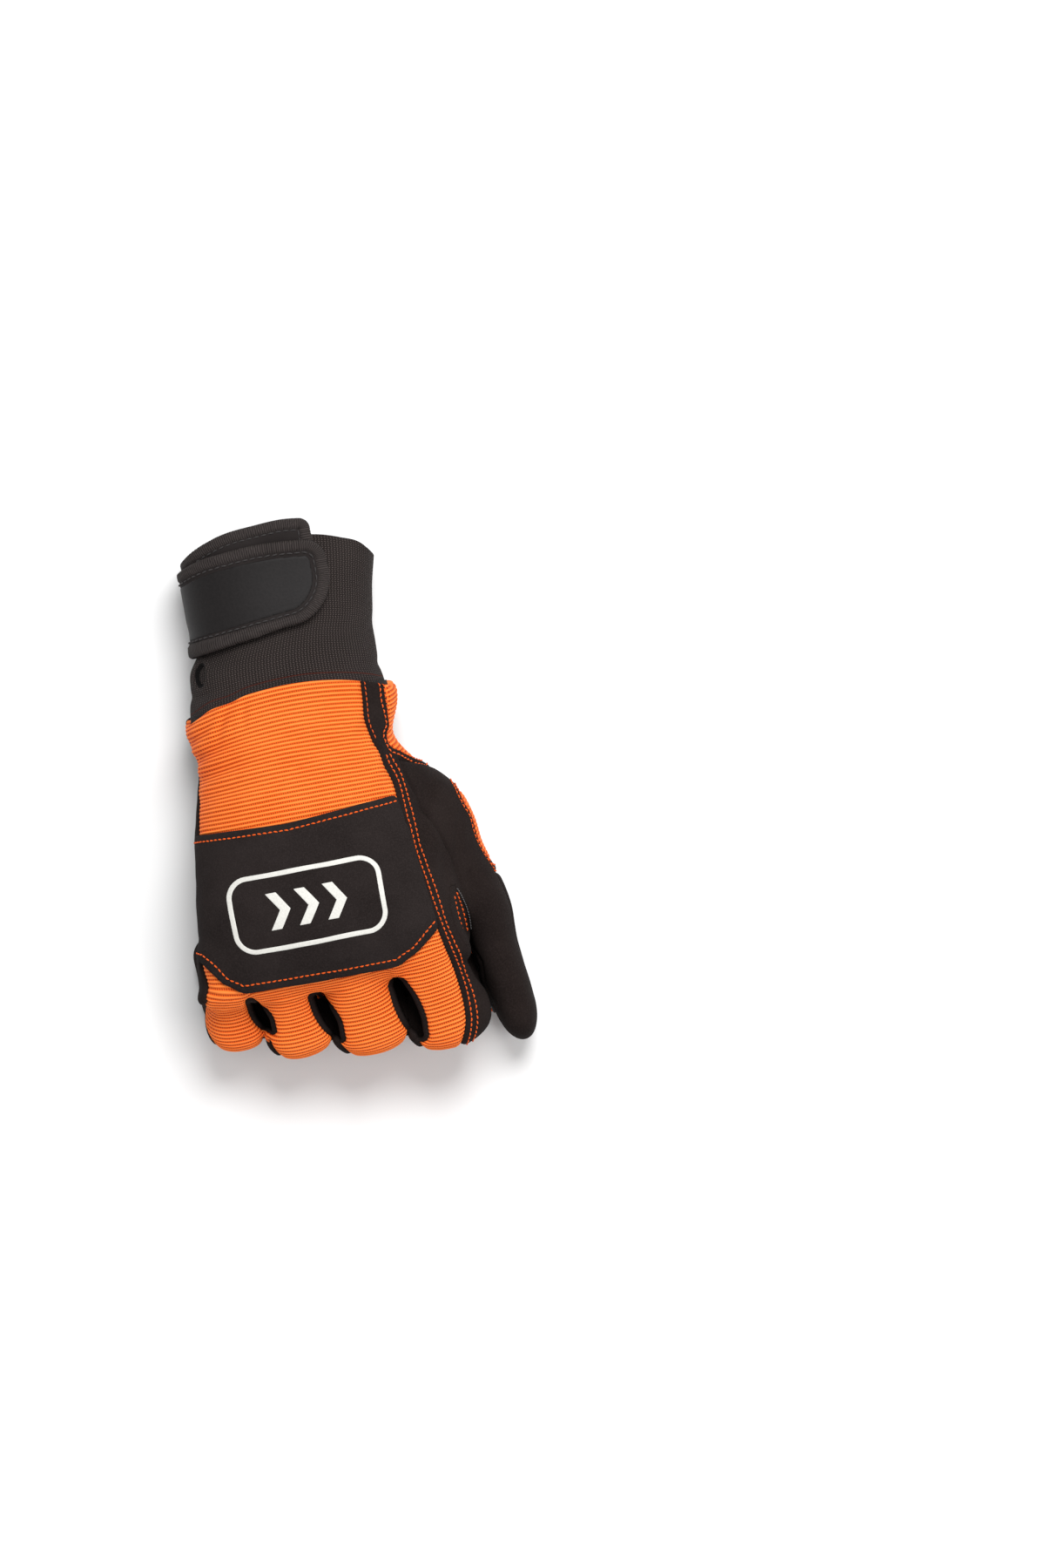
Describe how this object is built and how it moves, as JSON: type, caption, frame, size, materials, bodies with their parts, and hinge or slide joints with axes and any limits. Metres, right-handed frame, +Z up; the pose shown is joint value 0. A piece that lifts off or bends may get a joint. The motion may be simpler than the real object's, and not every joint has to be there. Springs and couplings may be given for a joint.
{
  "type": "chainsaw glove",
  "caption": "Padded work glove with a stretch back, suede palm and finger caps, knuckle patch, rubber grip, knitted cuff and wrist strap, resting palm down in a loose fist.",
  "frame": {"origin": "on the table under the middle of the glove's footprint", "axes": "+Y from the curled fingers towards the cuff, +X towards the thumb, +Z up out of the back of the hand"},
  "size_m": [0.142, 0.2386, 0.0793],
  "materials": {
    "stretch_fabric": "bright orange ribbed stretch fabric",
    "suede": "black synthetic suede with a fine nap",
    "grip_rubber": "black rubber with raised hexagonal studs",
    "knit": "fine black knitted rib",
    "strap_fabric": "black laminated fabric",
    "label": "smooth black printable film",
    "print": "off-white transfer print"
  },
  "bodies": {
    "root": {"back_fabric": "stretch_fabric", "wrist_gusset": "stretch_fabric", "palm_leather": "suede", "thumb": "suede", "finger_back_little": "stretch_fabric", "finger_back_ring": "stretch_fabric", "finger_back_middle": "stretch_fabric", "finger_back_index": "stretch_fabric", "finger_little": "suede", "finger_ring": "suede", "finger_middle": "suede", "finger_index": "suede", "cap_little": "suede", "cap_ring": "suede", "cap_middle": "suede", "cap_index": "suede", "knuckle_patch": "suede", "badge_frame": "print", "badge_chevron_1": "print", "badge_chevron_2": "print", "badge_chevron_3": "print", "palm_grip": "grip_rubber", "thumb_grip": "grip_rubber", "knit_cuff": "knit", "strap_under": "strap_fabric", "strap_upper": "strap_fabric", "strap_binding": "strap_fabric", "strap_label": "label"}
  },
  "joints": []
}
